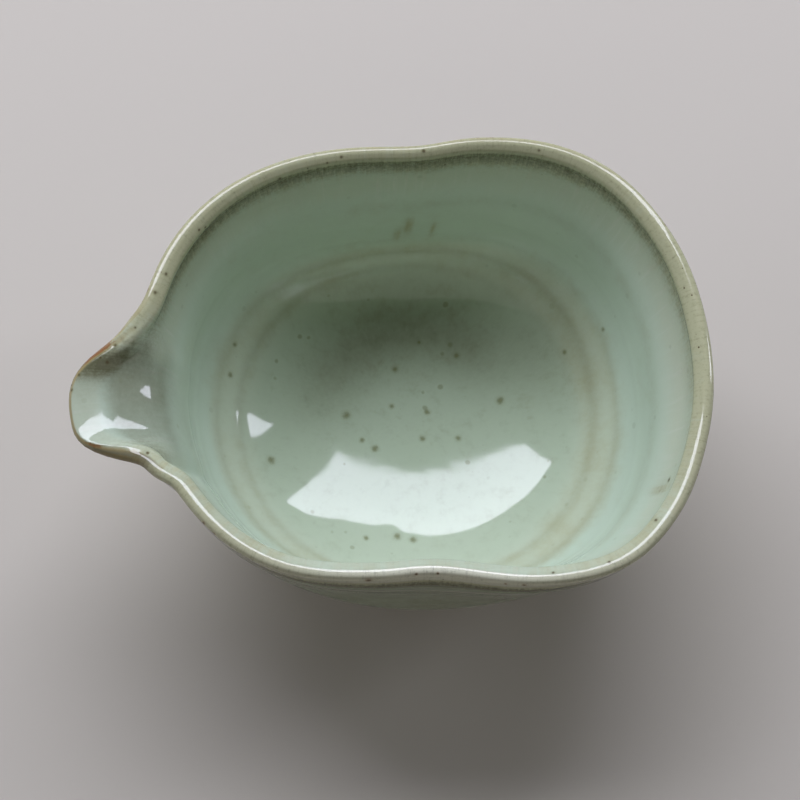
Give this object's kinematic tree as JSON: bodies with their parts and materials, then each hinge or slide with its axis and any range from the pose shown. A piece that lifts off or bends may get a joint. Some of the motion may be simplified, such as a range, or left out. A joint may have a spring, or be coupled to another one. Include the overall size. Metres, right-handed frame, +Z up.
{
  "type": "yuzamashi",
  "caption": "Low oval stoneware bowl with finger-pressed sides, a pulled pouring lip at one end and a small foot ring, glazed pale green, for cooling water before tea.",
  "frame": {"origin": "on the table, under the middle of the whole outline; the foot's centre is 5 mm along +X from it and 0.8 mm along -Y", "axes": "+X away from the pouring lip, along the bowl's length; +Y across it; +Z up"},
  "size_m": [0.1306, 0.0954, 0.058],
  "materials": {
    "bare_clay": "matt, toasted where it is bare",
    "glaze": "glossy pale blue-green glass, beige and brown where it runs thin, with iron specks"
  },
  "bodies": {
    "root": {"clay_bowl": "bare_clay", "foot_ring": "bare_clay", "inside_glaze": "glaze", "outside_glaze": "glaze"}
  },
  "joints": []
}
